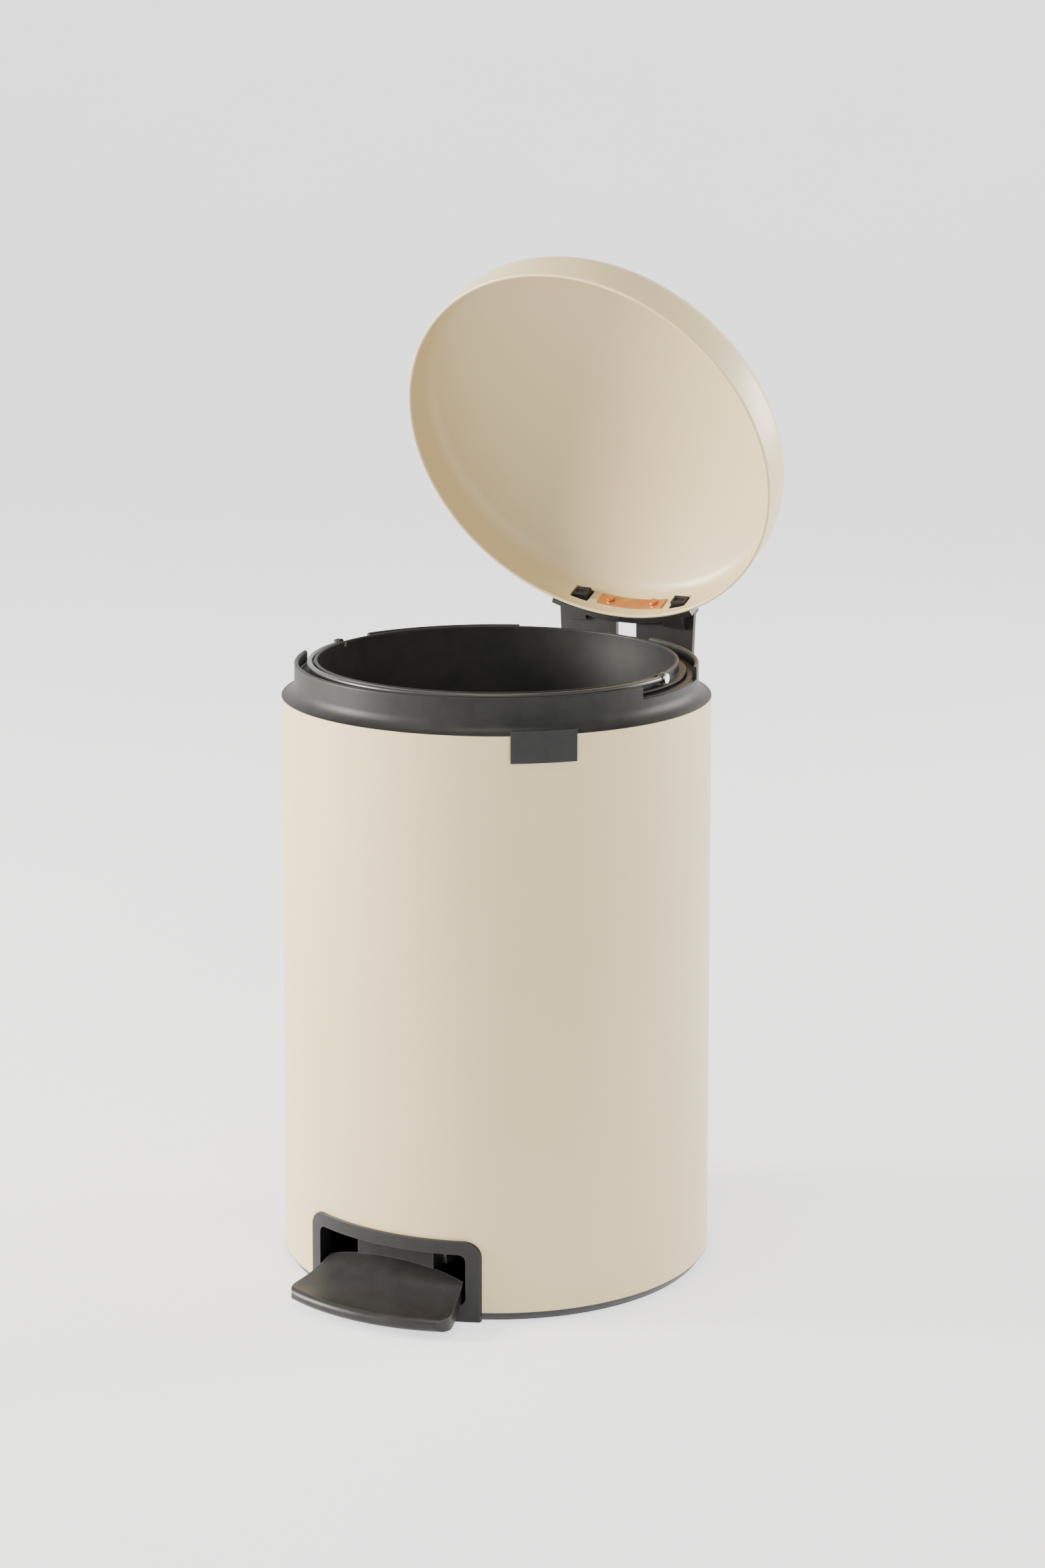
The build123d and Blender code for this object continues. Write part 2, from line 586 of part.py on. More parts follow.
nodes = {
    "shell": make_shell(),
    "foot_ring": make_foot_ring(),
    "floor_rubber": make_floor_rubber(),
    "base_screws": make_base_screws(),
    "base_pan": make_base_pan(),
    "pedal_surround": make_pedal_surround(),
    "collar": make_collar(),
    "bucket_pads": make_bucket_pads(),
    "label_tab": make_label_tab(),
    "hinge_housing": make_hinge_housing(),
    "housing_screws": make_housing_screws(),
    "hinge_cover": make_hinge_cover(),
    "cover_screws": make_cover_screws(),
    "hinge_pin": make_hinge_pin(),
    "pin_clips": make_pin_clips(),
    "friction_washers": make_friction_washers(),
    "rod_guides": make_rod_guides(),
    "lid_shell": make_lid_shell(),
    "lid_bracket": make_lid_bracket(),
    "lid_crank": make_lid_crank(),
    "crank_pin": make_crank_pin(),
    "spring_plate": make_spring_plate(),
    "lid_rivets": make_lid_rivets(),
    "latch_left": make_latch(-window_x),
    "latch_right": make_latch(window_x),
    "pedal": make_pedal(),
    "pedal_lever": make_pedal_lever(),
    "pedal_screws": make_pedal_screws(),
    "pivot_pin": make_pivot_pin(),
    "return_spring": make_return_spring(),
    "push_rod": make_push_rod(),
    "rod_foot": make_rod_foot(),
    "rod_head": make_rod_head(),
    "bucket": make_bucket(),
    "bail_studs": make_bail_studs(),
    "bail_handle": make_bail_handle(),
}

for name, shape in nodes.items():
    export_step(shape, f"parts/{name}.step")
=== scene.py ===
"""Step-on waste bin with its lid open: pieces, finishes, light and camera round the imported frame."""
import json
import logging
from dataclasses import dataclass
from enum import Enum
from math import atan2, cos, degrees, pi, radians, sin
from typing import Callable, Sequence

import bpy
from mathutils import Matrix, Vector


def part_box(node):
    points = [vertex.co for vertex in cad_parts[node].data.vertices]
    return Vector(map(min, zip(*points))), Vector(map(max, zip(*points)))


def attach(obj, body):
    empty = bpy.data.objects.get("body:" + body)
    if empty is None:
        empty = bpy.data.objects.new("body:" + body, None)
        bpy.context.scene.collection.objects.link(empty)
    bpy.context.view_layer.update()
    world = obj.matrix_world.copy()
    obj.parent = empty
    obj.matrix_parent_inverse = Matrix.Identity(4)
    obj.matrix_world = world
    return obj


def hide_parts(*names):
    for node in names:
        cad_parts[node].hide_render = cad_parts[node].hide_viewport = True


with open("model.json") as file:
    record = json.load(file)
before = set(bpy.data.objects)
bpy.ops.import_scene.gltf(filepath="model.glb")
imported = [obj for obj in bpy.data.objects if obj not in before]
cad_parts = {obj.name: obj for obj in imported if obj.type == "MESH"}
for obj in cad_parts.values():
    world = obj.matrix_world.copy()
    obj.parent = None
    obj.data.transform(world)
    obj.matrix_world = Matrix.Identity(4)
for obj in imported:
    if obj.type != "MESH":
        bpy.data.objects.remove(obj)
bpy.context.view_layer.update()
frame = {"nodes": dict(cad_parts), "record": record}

log = logging.getLogger("bin")
MM = 0.001
Point = tuple[float, float]
Colour = tuple[float, float, float]
Node = bpy.types.Node
Object = bpy.types.Object
Material = bpy.types.Material


# ------------------------------------------------------------------ sizes read from the frame
@dataclass(frozen=True)
class Frame:
    """The bin's main sizes in metres, taken from the CAD nodes and joints."""
    radius: float
    shell_top: float
    shell_bottom: float
    wall_top: float
    hinge: Vector
    open_angle: float
    bail: Vector
    pivot: Vector

    @classmethod
    def read(cls) -> "Frame":
        """Read the sizes from the loaded frame.

        Returns:
            The filled record.
        """
        low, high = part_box("shell")
        joints = {joint["name"]: joint for joint in frame["record"]["behaviour"]["joints"]}
        lid = joints["lid_hinge"]
        return cls(high[0], high[2], low[2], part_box("collar")[1][2], Vector(lid["pos_m"]),
                   radians(-lid["range_deg"][0]), Vector(joints["bail_swing"]["pos_m"]),
                   Vector(joints["pedal_pivot"]["pos_m"]))

    @property
    def rim(self) -> float:
        """Height of the closed lid's rim."""
        return self.shell_top + 3.7 * MM

    @property
    def shelf(self) -> float:
        """Height of the collar's shelf, on which the bucket hangs."""
        return self.shell_top + 12.3 * MM

    @property
    def lid_radius(self) -> float:
        """Outside radius of the lid's skirt."""
        return self.radius - 3.5 * MM

    @property
    def wall_radius(self) -> float:
        """Outside radius of the collar's upright wall."""
        return self.radius - 7.5 * MM

    @property
    def lip_radius(self) -> float:
        """Outside radius of the bucket's lip."""
        return self.radius - 19.0 * MM


# ------------------------------------------------------------------ modelling helpers
def clear_selection() -> None:
    """Deselect everything, since operators act on all that is selected."""
    if bpy.context.object and bpy.context.object.mode != "OBJECT":
        bpy.ops.object.mode_set(mode="OBJECT")
    bpy.ops.object.select_all(action="DESELECT")


def choose(obj: Object) -> None:
    """Make an object the only selected and the active one.

    Args:
        obj: The object to choose.
    """
    clear_selection()
    obj.select_set(True)
    bpy.context.view_layer.objects.active = obj


def in_edit(obj: Object, action: Callable[[], None]) -> Object:
    """Run an action on the whole mesh in edit mode.

    Args:
        obj: The object to edit.
        action: Calls the mesh operators.

    Returns:
        The same object.
    """
    choose(obj)
    bpy.ops.object.mode_set(mode="EDIT")
    bpy.ops.mesh.select_all(action="SELECT")
    action()
    bpy.ops.object.mode_set(mode="OBJECT")
    return obj


def smooth(obj: Object, angle: float = 32.0) -> Object:
    """Shade smooth, keeping the sharper edges.

    Args:
        obj: The object to shade.
        angle: Edges sharper than this many degrees stay sharp.

    Returns:
        The same object.
    """
    choose(obj)
    bpy.ops.object.shade_smooth_by_angle(angle=radians(angle))
    return obj


def lathe(name: str, outline: Sequence[Point], start: float = 0.0, sweep: float = 360.0,
          steps: int = 192, closed: bool = True) -> Object:
    """Spin an outline of (radius, height) about the bin's axis.

    Args:
        name: Name of the new object.
        outline: Points in metres, counter-clockwise in the (radius, height) plane.
        start: First angle in degrees, counted from the pedal towards +X.
        sweep: Angle turned through, in degrees.
        steps: Number of segments.
        closed: Whether the last point joins the first.

    Returns:
        The new solid.
    """
    clear_selection()
    direction = Vector((sin(radians(start)), -cos(radians(start)), 0.0))
    places = [direction * radius + Vector((0, 0, height)) for radius, height in outline]
    bpy.ops.mesh.primitive_plane_add(size=0.001, location=(0, 0, 0))
    obj = bpy.context.object
    obj.name = obj.data.name = name
    bpy.ops.object.mode_set(mode="EDIT")
    bpy.ops.mesh.select_all(action="SELECT")
    bpy.ops.mesh.merge(type="CENTER")
    bpy.ops.transform.translate(value=places[0])
    route = places + [places[0]] if closed else places
    for here, there in zip(route, route[1:]):
        bpy.ops.mesh.extrude_region_move(TRANSFORM_OT_translate={"value": there - here})
    bpy.ops.mesh.select_all(action="SELECT")
    bpy.ops.mesh.remove_doubles(threshold=1e-6)
    bpy.ops.mesh.select_all(action="SELECT")
    bpy.ops.mesh.spin(steps=steps, angle=radians(sweep), center=(0, 0, 0), axis=(0, 0, -1))
    bpy.ops.mesh.select_all(action="SELECT")
    bpy.ops.mesh.remove_doubles(threshold=2e-6)
    if closed and sweep < 359:
        bpy.ops.mesh.select_all(action="DESELECT")
        bpy.ops.mesh.select_non_manifold(extend=False)
        bpy.ops.mesh.edge_face_add()
        bpy.ops.mesh.select_all(action="SELECT")
    bpy.ops.mesh.normals_make_consistent(inside=False)
    bpy.ops.object.mode_set(mode="OBJECT")
    return obj


def block(name: str, low: Sequence[float], high: Sequence[float]) -> Object:
    """Add a box whose place is held in its mesh.

    Args:
        name: Name of the new object.
        low: Its lowest corner.
        high: Its highest corner.

    Returns:
        The new solid.
    """
    clear_selection()
    centre = [(a + b) / 2 for a, b in zip(low, high)]
    extent = [b - a for a, b in zip(low, high)]
    bpy.ops.mesh.primitive_cube_add(size=1.0, location=centre, scale=extent)
    obj = bpy.context.object
    obj.name = obj.data.name = name
    bpy.ops.object.transform_apply(location=True, rotation=True, scale=True)
    return obj


def rod(name: str, radius: float, start: Vector, end: Vector, sides: int = 48) -> Object:
    """Add a round bar whose place is held in its mesh.

    Args:
        name: Name of the new object.
        radius: Radius of the bar.
        start: Centre of one end.
        end: Centre of the other end.
        sides: Number of faces round it.

    Returns:
        The new solid.
    """
    clear_selection()
    axis = end - start
    turn = axis.to_track_quat("Z", "Y").to_euler()
    bpy.ops.mesh.primitive_cylinder_add(radius=radius, depth=axis.length, vertices=sides,
                                        location=(start + end) / 2, rotation=turn)
    obj = bpy.context.object
    obj.name = obj.data.name = name
    bpy.ops.object.transform_apply(location=True, rotation=True, scale=True)
    return obj


def finish_modifiers(obj: Object) -> Object:
    """Apply every modifier in order.

    Args:
        obj: The object whose modifiers are applied.

    Returns:
        The same object.
    """
    choose(obj)
    for modifier in list(obj.modifiers):
        bpy.ops.object.modifier_apply(modifier=modifier.name)
    return obj


def cut_away(obj: Object, tool: Object) -> Object:
    """Cut a tool solid out of another and remove the tool.

    Args:
        obj: The solid that stays.
        tool: The solid that is used up.

    Returns:
        The first solid.
    """
    modifier = obj.modifiers.new("cut_away", "BOOLEAN")
    modifier.operation = "DIFFERENCE"
    modifier.solver = "EXACT"
    modifier.object = tool
    finish_modifiers(obj)
    bpy.data.objects.remove(tool, do_unlink=True)
    return obj


def round_edges(obj: Object, width: float, segments: int = 2, angle: float = 30.0) -> Object:
    """Round the sharp edges with a bevel.

    Args:
        obj: The solid.
        width: Bevel width in metres.
        segments: Segments across the bevel.
        angle: Edges sharper than this many degrees are rounded.

    Returns:
        The same solid.
    """
    modifier = obj.modifiers.new("edges", "BEVEL")
    modifier.width = width
    modifier.segments = segments
    modifier.limit_method = "ANGLE"
    modifier.angle_limit = radians(angle)
    modifier.use_clamp_overlap = True
    finish_modifiers(obj)
    smooth(obj)
    obj.modifiers.new("even", "WEIGHTED_NORMAL").keep_sharp = True
    return finish_modifiers(obj)


def copy_of(node: str, name: str) -> Object:
    """A merged, planar-dissolved copy of a CAD node, ready for finer work.

    Args:
        node: Name of the CAD node.
        name: Name of the copy.

    Returns:
        The copy, with no material.
    """
    source = frame["nodes"][node]
    clear_selection()
    obj = bpy.data.objects.new(name, source.data.copy())
    obj.data.name = name
    bpy.context.scene.collection.objects.link(obj)
    obj.data.materials.clear()
    choose(obj)
    if obj.data.has_custom_normals:
        bpy.ops.mesh.customdata_custom_splitnormals_clear()

    def mend() -> None:
        """Clear the marks, merge doubles and dissolve flat edges."""
        bpy.ops.mesh.mark_sharp(clear=True)
        bpy.ops.mesh.remove_doubles(threshold=1e-6)
        bpy.ops.mesh.dissolve_limited(angle_limit=radians(0.5))

    return in_edit(obj, mend)


def turn_open(obj: Object, sizes: Frame) -> Object:
    """Turn a piece of the lid, modelled closed, to where it stands open.

    Args:
        obj: The piece.
        sizes: The bin's main sizes.

    Returns:
        The same piece.
    """
    to_hinge = Matrix.Translation(sizes.hinge)
    from_hinge = Matrix.Translation(-sizes.hinge)
    obj.data.transform(to_hinge @ Matrix.Rotation(-sizes.open_angle, 4, "X") @ from_hinge)
    return obj


def arc(centre: Point, radius: float, start: float, end: float, steps: int) -> list[Point]:
    """Points on an arc in the (radius, height) plane.

    Args:
        centre: Centre of the arc.
        radius: Its radius.
        start: First angle in degrees.
        end: Last angle in degrees.
        steps: Number of chords.

    Returns:
        The points, one more than the chords.
    """
    angles = [radians(start + (end - start) * i / steps) for i in range(steps + 1)]
    return [(centre[0] + radius * cos(a), centre[1] + radius * sin(a)) for a in angles]


# ------------------------------------------------------------------ shader effects
SKIN_OUTPUTS = ("Height", "Tone", "Sheen")


class Effects:
    """Shader node groups that several finishes share, each built once."""

    @staticmethod
    def new(name: str, inputs: Sequence[tuple[str, float]], outputs: Sequence[str]) -> tuple:
        """Start a group.

        Args:
            name: The group's name.
            inputs: Names and defaults of its number inputs.
            outputs: Names of its number outputs.

        Returns:
            The group, its input node and its output node.
        """
        group = bpy.data.node_groups.new(name, "ShaderNodeTree")
        for label, default in inputs:
            socket = group.interface.new_socket(name=label, in_out="INPUT", socket_type="NodeSocketFloat")
            socket.default_value = default
        for label in outputs:
            group.interface.new_socket(name=label, in_out="OUTPUT", socket_type="NodeSocketFloat")
        return group, group.nodes.new("NodeGroupInput"), group.nodes.new("NodeGroupOutput")

    @staticmethod
    def noise(tree: bpy.types.NodeTree, scale: float, detail: float = 2.0,
              stretch: Vector = Vector((1, 1, 1))) -> Node:
        """A noise texture on object coordinates.

        Args:
            tree: The nodes it is added to.
            scale: Its scale.
            detail: Its detail.
            stretch: Factors on the three coordinates.

        Returns:
            The texture node.
        """
        place = tree.nodes.new("ShaderNodeTexCoord")
        mapping = tree.nodes.new("ShaderNodeMapping")
        mapping.inputs["Scale"].default_value = stretch
        texture = tree.nodes.new("ShaderNodeTexNoise")
        texture.inputs["Scale"].default_value = scale
        texture.inputs["Detail"].default_value = detail
        tree.links.new(place.outputs["Object"], mapping.inputs["Vector"])
        tree.links.new(mapping.outputs["Vector"], texture.inputs["Vector"])
        return texture

    @staticmethod
    def maths(tree: bpy.types.NodeTree, kind: str, first: object, second: object,
              clamp: bool = False) -> Node:
        """A Math node.

        Args:
            tree: The nodes it is added to.
            kind: The operation.
            first: Socket or number for the first input.
            second: Socket or number for the second input.
            clamp: Whether the result is kept between 0 and 1.

        Returns:
            The node.
        """
        node = tree.nodes.new("ShaderNodeMath")
        node.operation = kind
        node.use_clamp = clamp
        for index, value in enumerate((first, second)):
            if isinstance(value, (int, float)):
                node.inputs[index].default_value = value
            else:
                tree.links.new(value, node.inputs[index])
        return node

    def __init__(self) -> None:
        """Build every group."""
        self.peel = self._peel()
        self.grain = self._grain()
        self.worn = self._worn()
        self.dust = self._dust()
        self.brushed = self._brushed()

    def _peel(self) -> bpy.types.NodeTree:
        """Sprayed and baked paint: orange peel, fine texture and slow changes of tone."""
        group, given, out = self.new("paint_peel", [("Peel", 0.7), ("Fine", 0.3)], SKIN_OUTPUTS)
        wide = self.noise(group, 520.0, 1.0)
        fine = self.noise(group, 2600.0, 2.0)
        tone = self.noise(group, 7.0, 3.0)
        sheen = self.noise(group, 38.0, 3.0)
        first = self.maths(group, "MULTIPLY", wide.outputs["Fac"], given.outputs["Peel"])
        second = self.maths(group, "MULTIPLY", fine.outputs["Fac"], given.outputs["Fine"])
        both = self.maths(group, "ADD", first.outputs[0], second.outputs[0])
        group.links.new(both.outputs[0], out.inputs["Height"])
        group.links.new(tone.outputs["Fac"], out.inputs["Tone"])
        group.links.new(sheen.outputs["Fac"], out.inputs["Sheen"])
        return group

    def _grain(self) -> bpy.types.NodeTree:
        """Spark-eroded grain of a moulded surface, with slow flow marks."""
        group, given, out = self.new("moulded_grain", [("Pits", 0.7), ("Flow", 0.3)], SKIN_OUTPUTS)
        place = group.nodes.new("ShaderNodeTexCoord")
        cells = group.nodes.new("ShaderNodeTexVoronoi")
        cells.feature = "SMOOTH_F1"
        cells.inputs["Scale"].default_value = 1900.0
        group.links.new(place.outputs["Object"], cells.inputs["Vector"])
        flow = self.noise(group, 24.0, 2.0, Vector((1.0, 1.0, 0.35)))
        tone = self.noise(group, 90.0, 4.0)
        pits = self.maths(group, "MULTIPLY", cells.outputs["Distance"], given.outputs["Pits"])
        swell = self.maths(group, "MULTIPLY", flow.outputs["Fac"], given.outputs["Flow"])
        both = self.maths(group, "ADD", pits.outputs[0], swell.outputs[0])
        group.links.new(both.outputs[0], out.inputs["Height"])
        group.links.new(tone.outputs["Fac"], out.inputs["Tone"])
        group.links.new(flow.outputs["Fac"], out.inputs["Sheen"])
        return group

    def _worn(self) -> bpy.types.NodeTree:
        """Where edges are rubbed: 1 on a convex edge, broken up by noise."""
        group, given, out = self.new("edge_rub", [("Amount", 1.0)], ["Mask"])
        rounded = group.nodes.new("ShaderNodeBevel")
        rounded.samples = 4
        rounded.inputs["Radius"].default_value = 0.0011
        surface = group.nodes.new("ShaderNodeNewGeometry")
        dot = group.nodes.new("ShaderNodeVectorMath")
        dot.operation = "DOT_PRODUCT"
        group.links.new(rounded.outputs["Normal"], dot.inputs[0])
        group.links.new(surface.outputs["Normal"], dot.inputs[1])
        bend = self.maths(group, "SUBTRACT", 1.0, dot.outputs["Value"])
        strong = self.maths(group, "MULTIPLY", bend.outputs[0], 7.0, clamp=True)
        broken = self.noise(group, 260.0, 3.0)
        mixed = self.maths(group, "MULTIPLY", strong.outputs[0], broken.outputs["Fac"])
        amount = self.maths(group, "MULTIPLY", mixed.outputs[0], given.outputs["Amount"], clamp=True)
        group.links.new(amount.outputs[0], out.inputs["Mask"])
        return group

    def _dust(self) -> bpy.types.NodeTree:
        """Fine dust that settles on faces that look up."""
        group, given, out = self.new("settled_dust", [("Amount", 0.3)], ["Mask"])
        place = group.nodes.new("ShaderNodeTexCoord")
        split = group.nodes.new("ShaderNodeSeparateXYZ")
        group.links.new(place.outputs["Normal"], split.inputs[0])
        facing = self.maths(group, "MAXIMUM", split.outputs["Z"], 0.0)
        upward = self.maths(group, "POWER", facing.outputs[0], 3.0)
        specks = self.noise(group, 700.0, 4.0)
        patch = self.noise(group, 30.0, 3.0)
        both = self.maths(group, "MULTIPLY", specks.outputs["Fac"], patch.outputs["Fac"])
        lying = self.maths(group, "MULTIPLY", upward.outputs[0], both.outputs[0])
        amount = self.maths(group, "MULTIPLY", lying.outputs[0], given.outputs["Amount"], clamp=True)
        group.links.new(amount.outputs[0], out.inputs["Mask"])
        return group

    def _brushed(self) -> bpy.types.NodeTree:
        """Drawn or brushed metal: streaks along X, and faint stains."""
        group, given, out = self.new("brushed_metal", [("Streak", 1.0)], SKIN_OUTPUTS)
        streak = self.noise(group, 2400.0, 3.0, Vector((0.03, 1.0, 1.0)))
        stain = self.noise(group, 60.0, 4.0)
        height = self.maths(group, "MULTIPLY", streak.outputs["Fac"], given.outputs["Streak"])
        group.links.new(height.outputs[0], out.inputs["Height"])
        group.links.new(stain.outputs["Fac"], out.inputs["Tone"])
        group.links.new(streak.outputs["Fac"], out.inputs["Sheen"])
        return group


EFFECTS = Effects()


class Texture(Enum):
    """Which shared surface effect a finish is built on."""
    PEEL = "peel"
    GRAIN = "grain"
    BRUSHED = "brushed"


DUST_GREY = (0.34, 0.33, 0.31)


@dataclass(frozen=True)
class Finish:
    """One finish: a colour pair, a sheen range and a surface texture."""
    name: str
    slot: str
    texture: Texture
    dark: Colour
    light: Colour
    rough: tuple[float, float]
    depth: float
    metallic: float = 0.0
    coat: float = 0.0
    specular: float = 0.28
    rub: float = 0.0
    rub_colour: Colour = (0.3, 0.3, 0.3)
    dust: float = 0.0
    values: tuple[tuple[str, float], ...] = ()

    def material(self) -> Material:
        """Build the material the first time it is asked for.

        Returns:
            The material.
        """
        if self.name in bpy.data.materials:
            return bpy.data.materials[self.name]
        made = bpy.data.materials.new(self.name)
        made.use_nodes = True
        tree = made.node_tree
        shader = tree.nodes["Principled BSDF"]
        shader.inputs["Metallic"].default_value = self.metallic
        shader.inputs["Coat Weight"].default_value = self.coat
        shader.inputs["Coat Roughness"].default_value = 0.25
        shader.inputs["Specular IOR Level"].default_value = self.specular
        skin = tree.nodes.new("ShaderNodeGroup")
        skin.node_tree = getattr(EFFECTS, self.texture.value)
        for label, value in self.values:
            skin.inputs[label].default_value = value
        colour = self.mixed(tree, skin.outputs["Tone"], self.dark, self.light)
        if self.rub:
            colour = self._over(tree, EFFECTS.worn, self.rub, colour, self.rub_colour)
        if self.dust:
            colour = self._over(tree, EFFECTS.dust, self.dust, colour, DUST_GREY)
        tree.links.new(colour, shader.inputs["Base Color"])
        sheen = tree.nodes.new("ShaderNodeMapRange")
        sheen.inputs["To Min"].default_value = self.rough[0]
        sheen.inputs["To Max"].default_value = self.rough[1]
        tree.links.new(skin.outputs["Sheen"], sheen.inputs["Value"])
        tree.links.new(sheen.outputs["Result"], shader.inputs["Roughness"])
        bump = tree.nodes.new("ShaderNodeBump")
        bump.inputs["Strength"].default_value = 0.8
        bump.inputs["Distance"].default_value = self.depth
        tree.links.new(skin.outputs["Height"], bump.inputs["Height"])
        tree.links.new(bump.outputs["Normal"], shader.inputs["Normal"])
        return made

    @staticmethod
    def mixed(tree: bpy.types.NodeTree, factor: object, dark: Colour, light: Colour) -> object:
        """A colour between two, by a mask from 0.3 to 0.7.

        Args:
            tree: The material's nodes.
            factor: The mask's socket.
            dark: Colour at the low end.
            light: Colour at the high end.

        Returns:
            The colour socket.
        """
        ramp = tree.nodes.new("ShaderNodeValToRGB")
        ramp.color_ramp.elements[0].position = 0.3
        ramp.color_ramp.elements[1].position = 0.7
        ramp.color_ramp.elements[0].color = (*dark, 1.0)
        ramp.color_ramp.elements[1].color = (*light, 1.0)
        tree.links.new(factor, ramp.inputs["Fac"])
        return ramp.outputs["Color"]

    @staticmethod
    def _over(tree: bpy.types.NodeTree, effect: bpy.types.NodeTree, amount: float, under: object,
              colour: Colour) -> object:
        """Lay a colour over another where an effect's mask says.

        Args:
            tree: The material's nodes.
            effect: A group with an Amount input and a Mask output.
            amount: Strength of the effect.
            under: Socket of the colour below.
            colour: The colour laid over it.

        Returns:
            The colour socket.
        """
        mask = tree.nodes.new("ShaderNodeGroup")
        mask.node_tree = effect
        mask.inputs["Amount"].default_value = amount
        mix = tree.nodes.new("ShaderNodeMix")
        mix.data_type = "RGBA"
        mix.inputs["B"].default_value = (*colour, 1.0)
        tree.links.new(mask.outputs["Mask"], mix.inputs["Factor"])
        tree.links.new(under, mix.inputs["A"])
        return mix.outputs["Result"]


BEIGE_DARK = (0.510, 0.408, 0.222)
BEIGE_LIGHT = (0.540, 0.434, 0.240)
RUB_SOFT = (0.08, 0.08, 0.08)
RUB_STRONG = (0.10, 0.10, 0.10)

BODY_PAINT = Finish("beige_body_paint", "shell_paint", Texture.PEEL, BEIGE_DARK, BEIGE_LIGHT,
                    rough=(0.36, 0.44), depth=0.00004, coat=0.15, specular=0.5)
LID_PAINT = Finish("beige_lid_paint", "lid_paint", Texture.PEEL, BEIGE_DARK, BEIGE_LIGHT,
                   rough=(0.38, 0.46), depth=0.00004, coat=0.12, specular=0.5)
COLLAR_BLACK = Finish("collar_black", "collar_plastic", Texture.GRAIN,
                      (0.012, 0.012, 0.012), (0.018, 0.018, 0.017),
                      rough=(0.42, 0.54), depth=0.00004, specular=0.17, rub=0.12, rub_colour=RUB_SOFT,
                      dust=0.02, values=(("Pits", 0.6),))
TRIM_BLACK = Finish("trim_black", "trim_plastic", Texture.GRAIN,
                    (0.008, 0.008, 0.008), (0.012, 0.012, 0.012),
                    rough=(0.36, 0.48), depth=0.00004, rub=0.3, rub_colour=RUB_SOFT, dust=0.03)
HINGE_BLACK = Finish("hinge_black", "hinge_plastic", Texture.GRAIN,
                     (0.007, 0.007, 0.007), (0.011, 0.011, 0.011),
                     rough=(0.34, 0.46), depth=0.00004, rub=0.3, rub_colour=RUB_SOFT, dust=0.03)
CATCH_BLACK = Finish("catch_black", "latch_plastic", Texture.GRAIN,
                     (0.007, 0.007, 0.007), (0.011, 0.011, 0.011),
                     rough=(0.36, 0.46), depth=0.00003, rub=0.3, rub_colour=RUB_SOFT)
PEDAL_BLACK = Finish("pedal_black", "pedal_plastic", Texture.GRAIN,
                     (0.009, 0.009, 0.009), (0.014, 0.014, 0.013),
                     rough=(0.34, 0.48), depth=0.00005, rub=0.5, rub_colour=RUB_STRONG, dust=0.05,
                     values=(("Pits", 0.9),))
BUCKET_BLACK = Finish("bucket_charcoal", "bucket_plastic", Texture.GRAIN,
                      (0.009, 0.009, 0.009), (0.013, 0.013, 0.012),
                      rough=(0.44, 0.56), depth=0.00002, specular=0.16, dust=0.01,
                      values=(("Pits", 0.3), ("Flow", 0.5)))
INNER_GREY = Finish("inner_grey", "inner_plastic", Texture.GRAIN,
                    (0.020, 0.020, 0.021), (0.030, 0.030, 0.030),
                    rough=(0.45, 0.6), depth=0.00004, dust=0.1)
RUBBER = Finish("pad_rubber_matt", "pad_rubber", Texture.GRAIN,
                (0.016, 0.016, 0.016), (0.026, 0.026, 0.025),
                rough=(0.72, 0.88), depth=0.00005, specular=0.35)
SHEET_ZINC = Finish("zinc_sheet", "lever_steel", Texture.BRUSHED,
                    (0.46, 0.46, 0.45), (0.60, 0.60, 0.58),
                    rough=(0.30, 0.46), depth=0.00001, metallic=1.0)
DRAWN_STEEL = Finish("drawn_steel", "pin_steel", Texture.BRUSHED,
                     (0.56, 0.56, 0.55), (0.68, 0.68, 0.67),
                     rough=(0.20, 0.34), depth=0.00001, metallic=1.0)
COATED_WIRE = Finish("coated_wire", "wire_coat", Texture.PEEL,
                     (0.022, 0.022, 0.022), (0.032, 0.032, 0.031),
                     rough=(0.30, 0.42), depth=0.00002, coat=0.2)
SCREW_ZINC = Finish("zinc_screw", "screw_steel", Texture.BRUSHED,
                    (0.52, 0.53, 0.54), (0.66, 0.66, 0.64),
                    rough=(0.26, 0.40), depth=0.00001, metallic=1.0)
SPRING_WIRE = Finish("spring_wire", "spring_steel", Texture.BRUSHED,
                     (0.26, 0.26, 0.27), (0.38, 0.38, 0.38),
                     rough=(0.30, 0.42), depth=0.00001, metallic=1.0)
COPPER = Finish("copper_strip", "copper_plate", Texture.BRUSHED,
                (0.52, 0.21, 0.065), (0.68, 0.32, 0.12),
                rough=(0.30, 0.44), depth=0.00002, metallic=0.85)
ACETAL = Finish("acetal_washer", "washer_plastic", Texture.GRAIN,
                (0.62, 0.61, 0.57), (0.72, 0.71, 0.66),
                rough=(0.42, 0.52), depth=0.00001)


def dress(obj: Object, finish: Finish, body: str, replaced: Sequence[str] = ()) -> Object:
    """Give a new piece its finish, its body and the nodes it stands for.

    Args:
        obj: The piece.
        finish: Its finish.
        body: The CAD body it rides on.
        replaced: CAD nodes that it stands for.

    Returns:
        The piece.
    """
    obj.data.materials.clear()
    obj.data.materials.append(finish.material())
    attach(obj, body)
    if replaced:
        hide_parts(*replaced)
    log.info("%s: %d faces on %s", obj.name, len(obj.data.polygons), body)
    return obj


def dress_node(name: str, finish: Finish) -> None:
    """Give a CAD node that stays its finish.

    Args:
        name: Name of the node.
        finish: Its finish.
    """
    node = frame["nodes"][name]
    node.data.materials.clear()
    node.data.materials.append(finish.material())
    log.info("%s: CAD node in %s", name, finish.name)


